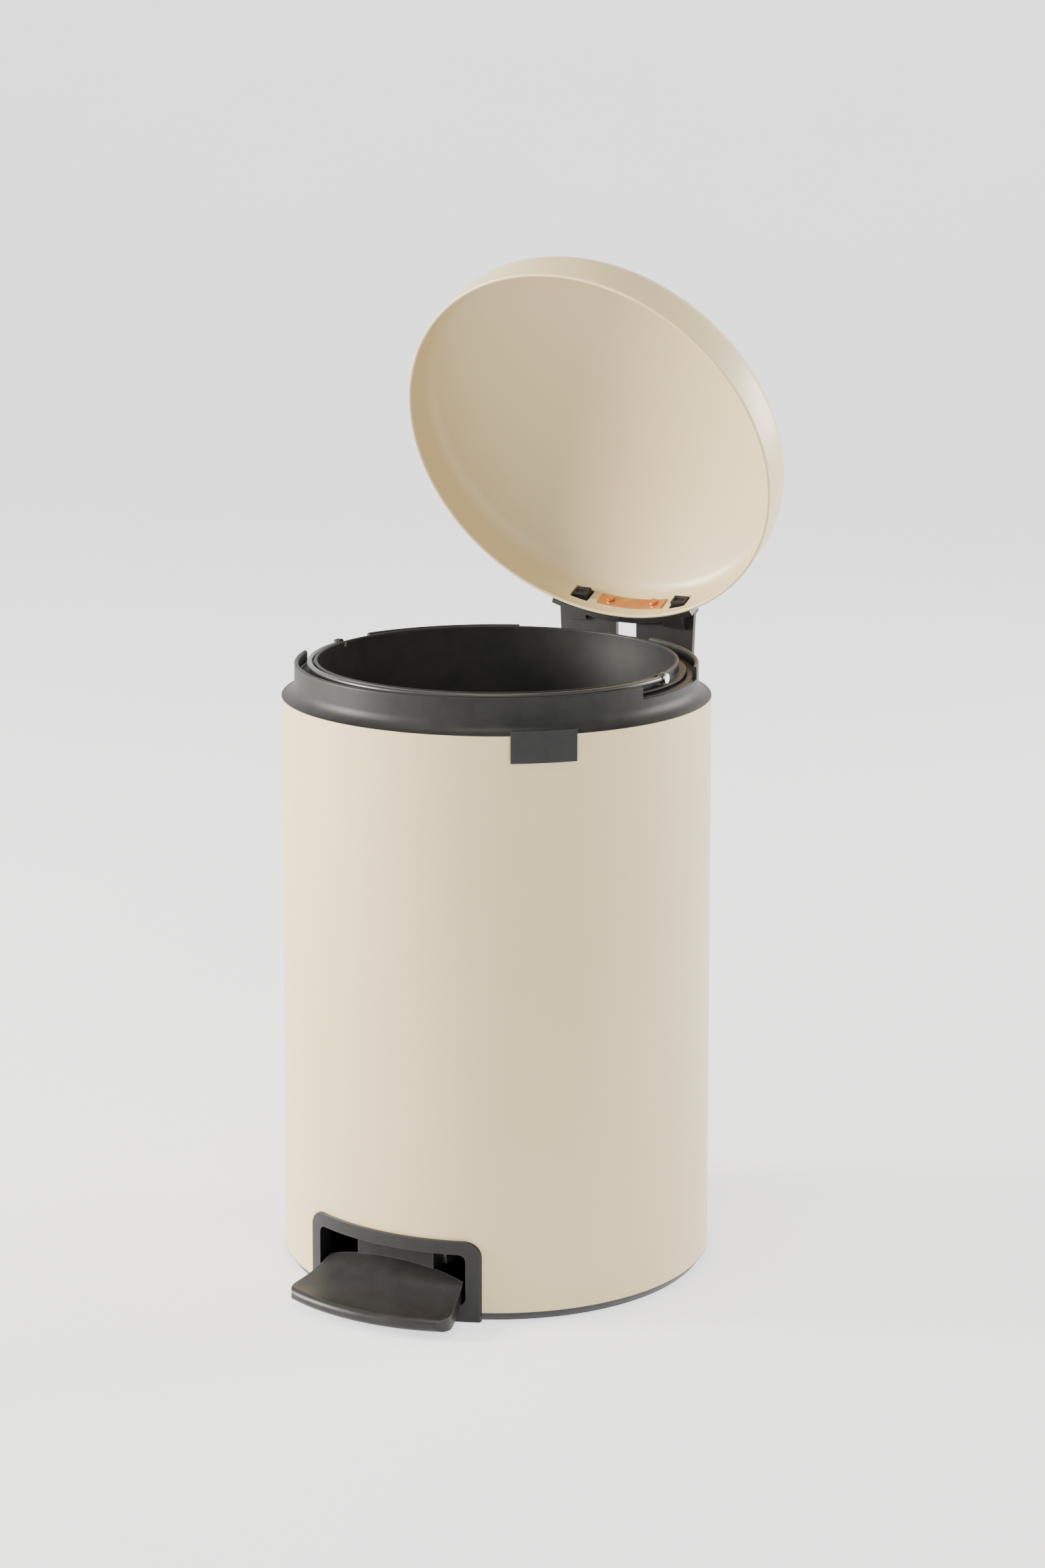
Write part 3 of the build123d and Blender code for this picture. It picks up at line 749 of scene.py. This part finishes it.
# ------------------------------------------------------------------ sub-assemblies
@dataclass
class Lid:
    """Domed sheet lid with a rolled rim, modelled closed and turned open."""
    sizes: Frame
    wall: float = 1.0 * MM
    skirt: float = 19.0 * MM
    shoulder: float = 14.0 * MM
    hem: float = 2.1 * MM
    crown: float = 66.7 * MM
    window_x: float = 34.5 * MM
    window_half: float = 6.0 * MM

    def dome(self, inset: float) -> list[Point]:
        """Outline from the rim up over the dome to the axis.

        Args:
            inset: How far the outline is drawn in.

        Returns:
            Points of (radius, height).
        """
        low = self.sizes.rim + self.skirt
        top = self.sizes.shell_top + self.crown
        centre = self.sizes.lid_radius - self.shoulder
        drop = top - low
        ball = (drop ** 2 + centre ** 2 - self.shoulder ** 2) / (2 * (drop - self.shoulder))
        slope = degrees(atan2(low - (top - ball), centre))
        corner = arc((centre, low), self.shoulder - inset, 0.0, slope, 10)
        cap = arc((0.0, top - ball), ball - inset, slope, 90.0, 22)
        return corner + cap[1:]

    def build(self) -> None:
        """Model and dress the sheet lid."""
        rim, radius = self.sizes.rim, self.sizes.lid_radius
        half = self.hem / 2
        roll = arc((radius - half, rim + half), half, 180.0, 360.0, 8)
        inner = [(radius - self.hem, rim + half + 0.9 * MM),
                 (radius - self.wall - 0.25 * MM, rim + half + 1.7 * MM),
                 (radius - self.wall, rim + half + 2.4 * MM)]
        outline = roll + self.dome(0.0)
        outline[-1] = (0.0, outline[-1][1])
        under = list(reversed(self.dome(self.wall)))
        outline += [(0.0, under[0][1])] + under[1:] + list(reversed(inner))
        lid = lathe("lid_sheet", outline, steps=224)
        for x in (-self.window_x, self.window_x):
            low = (x - self.window_half, radius - 20 * MM, rim + 8 * MM)
            high = (x + self.window_half, radius + 20 * MM, rim + 20 * MM)
            cut_away(lid, round_edges(block("window", low, high), 1.2 * MM, 3))
        smooth(turn_open(lid, self.sizes), 40)
        dress(lid, LID_PAINT, "lid", ["lid_shell"])


@dataclass
class Body:
    """Sheet body with its cut-outs, foot ring and collar."""
    sizes: Frame
    wall: float = 0.8 * MM
    opening_half: float = 50.3 * MM
    opening_top: float = 41.7 * MM
    throat_half: float = 13.0 * MM
    wall_gaps: tuple[tuple[float, float], ...] = ((74.0, 34.0), (-108.0, 34.0), (157.0, 46.0))

    def build(self) -> None:
        """Model and dress the shell, ring and collar."""
        self._shell()
        self._foot_ring()
        self._collar()

    def _shell(self) -> None:
        """Sheet tube with the pedal opening and the slot for the lid's crank."""
        size = self.sizes
        r, low, high = size.radius, size.shell_bottom, size.shell_top
        outline = [(r - self.wall, low + 0.2 * MM), (r - 0.6 * MM, low), (r - 0.2 * MM, low),
                   (r, low + 0.25 * MM), (r, low + 1.2 * MM), (r, high - 1.0 * MM),
                   (r, high - 0.2 * MM), (r - 0.2 * MM, high), (r - self.wall, high)]
        shell = lathe("body_sheet", outline, steps=256)
        half, throat = self.opening_half, self.throat_half
        cut_away(shell, block("opening", (-half, -2 * r, -10 * MM), (half, 0.0, self.opening_top)))
        cut_away(shell, block("slot", (-throat, 0.0, size.hinge.z - 30 * MM), (throat, 2 * r, high + 5 * MM)))
        smooth(shell, 40)
        dress(shell, BODY_PAINT, "body", ["shell"])

    def _foot_ring(self) -> None:
        """Moulded ring under the shell."""
        r, top = self.sizes.radius, self.sizes.shell_bottom
        low = 0.6 * MM
        outline = [(r - 20 * MM, top), (r - 20 * MM, low + 0.3 * MM), (r - 19.7 * MM, low),
                   (r - 9.1 * MM, low), (r - 9.1 * MM, 2 * MM), (r - 4.1 * MM, 2 * MM), (r - 4.1 * MM, low),
                   (r - 3.7 * MM, low), (r - 3.2 * MM, low + 0.3 * MM),
                   (r - 0.3 * MM, top - 0.5 * MM), (r, top)]
        dress(smooth(lathe("foot_ring_moulded", outline), 30), TRIM_BLACK, "body", ["foot_ring"])

    def _collar(self) -> None:
        """Collar with bevel, upright wall, shelf and finger recesses."""
        size = self.sizes
        r, top, shelf = size.radius, size.wall_top, size.shelf
        wall, shell = size.wall_radius, size.shell_top
        bevel = arc((r + 0.96 * MM, shell + 8.5 * MM), 8.46 * MM, 263.5, 183.0, 10)
        outline = bevel + [(wall, top - 1.2 * MM)]
        outline += arc((wall - 1.2 * MM, top - 1.2 * MM), 1.2 * MM, 15, 165, 6)
        outline += [(wall - 2.5 * MM, top - 1.4 * MM), (wall - 2.5 * MM, shelf + 0.5 * MM),
                    (wall - 3.0 * MM, shelf), (size.lip_radius + 1.7 * MM, shelf),
                    (size.lip_radius + 1.3 * MM, shelf - 0.4 * MM),
                    (size.lip_radius + 1.3 * MM, shelf - 2.2 * MM),
                    (wall - 4.5 * MM, shelf - 2.2 * MM), (wall - 2.5 * MM, shell + 7.2 * MM),
                    (wall - 0.2 * MM, shell + 1.2 * MM), (r - 3.4 * MM, shell - 2 * MM),
                    (r - 3.4 * MM, shell - 14 * MM), (r - 0.9 * MM, shell - 14 * MM),
                    (r - 0.9 * MM, shell + 0.1 * MM)]
        collar = lathe("collar_moulded", outline, steps=256)
        for start, sweep in self.wall_gaps:
            cut_away(collar, self._sector(wall - 2.6 * MM, r, start, sweep))
        low = (-self.throat_half, r - 35 * MM, shell - 30 * MM)
        high = (self.throat_half, r + 15 * MM, shelf - 2.2 * MM)
        cut_away(collar, block("slot", low, high))
        smooth(collar, 32)
        dress(collar, COLLAR_BLACK, "body", ["collar"])

    def _sector(self, inner: float, outer: float, start: float, sweep: float) -> Object:
        """Make a cutter for a gap in the collar's wall.

        Args:
            inner: Inside radius.
            outer: Outside radius.
            start: First angle in degrees, counted from the pedal towards +X.
            sweep: Angle covered, in degrees.

        Returns:
            The cutter.
        """
        low, high = self.sizes.shelf, self.sizes.wall_top + 0.003
        outline = [(inner, low), (outer, low), (outer, high), (inner, high)]
        return lathe("sector", outline, start, sweep, 24)


@dataclass
class Bucket:
    """Lift-out bucket, with the hole for its bail's axle."""
    sizes: Frame

    def build(self) -> None:
        """Model and dress the bucket."""
        size = self.sizes
        base, low = size.radius - 31.5 * MM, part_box("bucket")[0][2]
        lip, flange, rim = size.lip_radius, size.shelf + 1.0 * MM, size.shell_top + 20.7 * MM
        outline = [(0.0, low + 1.2 * MM), (base - 22 * MM, low + 1.2 * MM), (base - 20 * MM, low)]
        outline += [(base - 6 * MM, low)] + arc((base - 6 * MM, low + 6 * MM), 6 * MM, 285, 355, 7)
        outline += [(lip - 1 * MM, flange - 8 * MM), (lip, flange - 4 * MM), (lip, flange),
                    (lip + 4.3 * MM, flange), (lip + 4.8 * MM, flange + 0.5 * MM),
                    (lip + 4.8 * MM, flange + 1.0 * MM), (lip + 4.3 * MM, flange + 1.5 * MM),
                    (lip + 0.4 * MM, flange + 1.5 * MM), (lip, flange + 1.9 * MM), (lip, rim - 0.9 * MM)]
        outline += arc((lip - 1.0 * MM, rim - 1.0 * MM), 1.0 * MM, 10, 170, 8)
        outline += [(lip - 2 * MM, rim - 1.2 * MM), (lip - 2 * MM, flange - 3 * MM),
                    (lip - 2.8 * MM, flange - 8 * MM), (base - 1.8 * MM, low + 7 * MM)]
        outline += arc((base - 7 * MM, low + 7.2 * MM), 5.0 * MM, 355, 275, 7)
        outline += [(base - 21 * MM, low + 2.0 * MM), (base - 23 * MM, low + 3.0 * MM), (0.0, low + 3.0 * MM)]
        bucket = lathe("bucket_moulded", outline, steps=224)
        axle = rod("axle", 1.55 * MM, Vector((-0.12, 0, size.bail.z)), Vector((0.12, 0, size.bail.z)))
        cut_away(bucket, axle)
        smooth(bucket, 35)
        dress(bucket, BUCKET_BLACK, "bucket", ["bucket"])


@dataclass
class Screw:
    """A pan-head screw with a cross recess."""
    place: Vector
    axis: Vector
    head: float
    height: float
    shank: float
    length: float

    def build(self) -> Object:
        """Model the screw and set it in its place.

        Returns:
            The solid.
        """
        low = self.height * 0.45
        outline = [(0.0, -self.length), (self.shank, -self.length), (self.shank, 0.0), (self.head, 0.0),
                   (self.head, low), (self.head * 0.85, self.height * 0.86), (self.head * 0.5, self.height),
                   (0.0, self.height)]
        screw = lathe("screw", outline, steps=32)
        for across, along in ((0.62, 0.12), (0.12, 0.62)):
            reach = (self.head * across, self.head * along)
            cut_away(screw, block("cross", (-reach[0], -reach[1], low), (*reach, self.height * 1.5)))
        turn = self.axis.to_track_quat("Z", "Y").to_matrix().to_4x4()
        screw.data.transform(Matrix.Translation(self.place) @ turn)
        return screw


@dataclass
class Fittings:
    """Moulded and metal fittings whose edges are rounded, and the screws."""
    sizes: Frame
    label_angle: float = 42.0
    label_half: float = 19.0 * MM
    base_screw_inset: float = 14.0 * MM
    cover_screw_x: float = 17.0 * MM
    lever_screw_x: float = 27.0 * MM
    rounded: tuple[tuple[str, Finish, str, float], ...] = (
        ("pedal", PEDAL_BLACK, "pedal", 1.1 * MM),
        ("pedal_surround", TRIM_BLACK, "body", 0.6 * MM),
        ("hinge_housing", HINGE_BLACK, "body", 0.5 * MM),
        ("hinge_cover", HINGE_BLACK, "body", 0.3 * MM),
        ("lid_bracket", HINGE_BLACK, "lid", 0.5 * MM),
        ("rod_head", INNER_GREY, "rod", 0.35 * MM),
        ("rod_foot", INNER_GREY, "rod", 0.4 * MM),
        ("lid_crank", SHEET_ZINC, "lid", 0.25 * MM),
        ("pedal_lever", SHEET_ZINC, "pedal", 0.3 * MM),
        ("spring_plate", COPPER, "lid", 0.15 * MM),
    )

    def build(self) -> None:
        """Model and dress every fitting."""
        for node, finish, body, width in self.rounded:
            piece = round_edges(copy_of(node, node + "_fine"), width, 2, 38.0)
            dress(piece, finish, body, [node])
        for side, name in ((-1, "latch_left"), (1, "latch_right")):
            catch = round_edges(copy_of(name, name + "_fine"), 0.5 * MM, 2, 38.0)
            dress(catch, CATCH_BLACK, name, [name])
        self._label_tab()
        self._screws()

    def _label_tab(self) -> None:
        """Blank tab over the body's top edge, with a raised border."""
        size = self.sizes
        half = degrees(self.label_half / size.radius)
        inner, outer, top = size.radius + 0.05 * MM, size.radius + 1.8 * MM, size.shell_top + 3.3 * MM
        outline = [(inner, size.shell_top - 15.5 * MM), (outer, size.shell_top - 15.5 * MM), (outer, top),
                   (inner - 2.0 * MM, top), (inner - 2.0 * MM, top - 1.7 * MM), (inner, top - 1.7 * MM)]
        tab = lathe("label_tab_fine", outline, self.label_angle - half, 2 * half, 20)
        choose(tab)
        for face in tab.data.polygons:
            face.select = face.center.xy.length > outer - 0.2 * MM
        bpy.ops.object.mode_set(mode="EDIT")
        bpy.ops.mesh.select_mode(type="FACE")
        bpy.ops.mesh.inset(thickness=1.3 * MM, depth=-0.35 * MM)
        bpy.ops.mesh.select_mode(type="VERT")
        bpy.ops.object.mode_set(mode="OBJECT")
        dress(round_edges(tab, 0.3 * MM), TRIM_BLACK, "body", ["label_tab"])

    def _screws(self) -> None:
        """Screws under the base, in the hinge cover and in the pedal's lever."""
        hinge, pivot = self.sizes.hinge, self.sizes.pivot
        ring = self.sizes.radius - self.base_screw_inset
        base = [Screw(Vector((ring * sin(turn), -ring * cos(turn), 3.2 * MM)), Vector((0, 0, -1)),
                      head=3.4 * MM, height=2.0 * MM, shank=1.6 * MM, length=4.2 * MM)
                for turn in (0.0, 2 * pi / 3, 4 * pi / 3)]
        cover = [Screw(hinge + Vector((x, -4.2 * MM, -18 * MM)), Vector((0, 1, 0)),
                       head=2.4 * MM, height=1.4 * MM, shank=1.25 * MM, length=6.8 * MM)
                 for x in (-self.cover_screw_x, self.cover_screw_x)]
        lever = [Screw(pivot + Vector((self.lever_screw_x * side, -18 * MM, 0)), Vector((side, 0, 0)),
                       head=2.8 * MM, height=1.8 * MM, shank=1.4 * MM, length=10.8 * MM)
                 for side in (-1, 1)]
        for screws, node, body in ((base, "base_screws", "body"), (cover, "cover_screws", "body"),
                                   (lever, "pedal_screws", "pedal")):
            built = [screw.build() for screw in screws]
            choose(built[0])
            for other in built[1:]:
                other.select_set(True)
            bpy.ops.object.join()
            built[0].name = built[0].data.name = node + "_fine"
            dress(smooth(built[0], 30), SCREW_ZINC, body, [node])


@dataclass
class Studio:
    """Plain floor, soft lights and the camera."""
    sizes: Frame
    distance: float = 1.874
    height: float = 0.702
    azimuth: float = 30.0
    tilt: float = 7.0
    lens: float = 75.1
    shift: tuple[float, float] = (0.0166, -0.2104)
    sky: tuple[float, float, float] = (0.985, 0.99, 1.0)
    brightness: float = 0.30
    glow: float = 1.35

    def build(self) -> None:
        """Set up the floor, the lights, the world and the camera."""
        self._floor()
        self._world()
        self._light("key", (-2.3, -1.3, 1.0), 1.1, 270.0)
        self._light("fill", (1.5, 1.9, 0.8), 1.0, 90.0)
        self._light("top", (0.2, -0.6, 2.6), 1.2, 40.0)
        self._camera()

    def _floor(self) -> None:
        """A plain pale floor whose far edge sweeps up all round."""
        flat, sweep, high = 5.0, 1.6, 5.0
        outline = [(0.0, 0.0)] + arc((flat, sweep), sweep, 270.0, 360.0, 16) + [(flat + sweep, high)]
        floor = smooth(lathe("floor", outline, steps=96, closed=False), 60)
        paper = bpy.data.materials.new("pale_floor")
        paper.use_nodes = True
        shader = paper.node_tree.nodes["Principled BSDF"]
        shader.inputs["Roughness"].default_value = 0.95
        shader.inputs["Specular IOR Level"].default_value = 0.0
        shader.inputs["Emission Color"].default_value = (*self.sky, 1.0)
        shader.inputs["Emission Strength"].default_value = self.glow
        speckle = Effects.noise(paper.node_tree, 3.0, 2.0)
        tone = Finish.mixed(paper.node_tree, speckle.outputs["Fac"], (0.49, 0.49, 0.49), (0.51, 0.51, 0.51))
        paper.node_tree.links.new(tone, shader.inputs["Base Color"])
        floor.data.materials.append(paper)

    def _world(self) -> None:
        """Even pale surroundings."""
        world = bpy.data.worlds.new("surroundings")
        world.use_nodes = True
        world.node_tree.nodes["Background"].inputs["Color"].default_value = (*self.sky, 1.0)
        world.node_tree.nodes["Background"].inputs["Strength"].default_value = self.brightness
        bpy.context.scene.world = world

    @staticmethod
    def _light(name: str, place: Sequence[float], size: float, power: float) -> None:
        """Add a large soft lamp aimed at the middle of the bin.

        Args:
            name: Name of the lamp.
            place: Where it stands.
            size: Its width.
            power: Its power in watts.
        """
        lamp = bpy.data.lights.new(name, "AREA")
        lamp.shape = "DISK"
        lamp.size = size
        lamp.energy = power
        lamp.color = (1.0, 0.95, 0.87)
        obj = bpy.data.objects.new(name, lamp)
        bpy.context.scene.collection.objects.link(obj)
        obj.location = place
        obj.rotation_euler = (Vector((0, 0, 0.25)) - Vector(place)).to_track_quat("-Z", "Y").to_euler()

    def _camera(self) -> None:
        """Camera in front and to the pedal's right, looking a little down."""
        data = bpy.data.cameras.new("camera")
        data.sensor_fit = "AUTO"
        data.sensor_width = 36.0
        data.lens = self.lens
        data.shift_x, data.shift_y = self.shift
        camera = bpy.data.objects.new("camera", data)
        bpy.context.scene.collection.objects.link(camera)
        turn = radians(self.azimuth)
        camera.location = (self.distance * sin(turn), -self.distance * cos(turn), self.height)
        camera.rotation_euler = (radians(90 - self.tilt), 0.0, turn)
        bpy.context.scene.camera = camera


NODE_FINISHES: dict[str, Finish] = {
    "floor_rubber": RUBBER, "bucket_pads": RUBBER, "housing_screws": SCREW_ZINC, "lid_rivets": COPPER,
    "base_pan": INNER_GREY, "rod_guides": INNER_GREY, "hinge_pin": DRAWN_STEEL, "pivot_pin": DRAWN_STEEL,
    "crank_pin": DRAWN_STEEL, "pin_clips": SPRING_WIRE, "push_rod": DRAWN_STEEL, "bail_handle": COATED_WIRE,
    "bail_studs": DRAWN_STEEL, "friction_washers": ACETAL, "return_spring": SPRING_WIRE,
}


def main() -> None:
    """Build every sub-assembly, dress the nodes that stay and set the studio."""
    logging.basicConfig(level=logging.INFO, format="%(name)s: %(message)s")
    sizes = Frame.read()
    for assembly in (Lid(sizes), Body(sizes), Bucket(sizes), Fittings(sizes), Studio(sizes)):
        assembly.build()
    for name, finish in NODE_FINISHES.items():
        dress_node(name, finish)


if __name__ == "__main__":
    main()
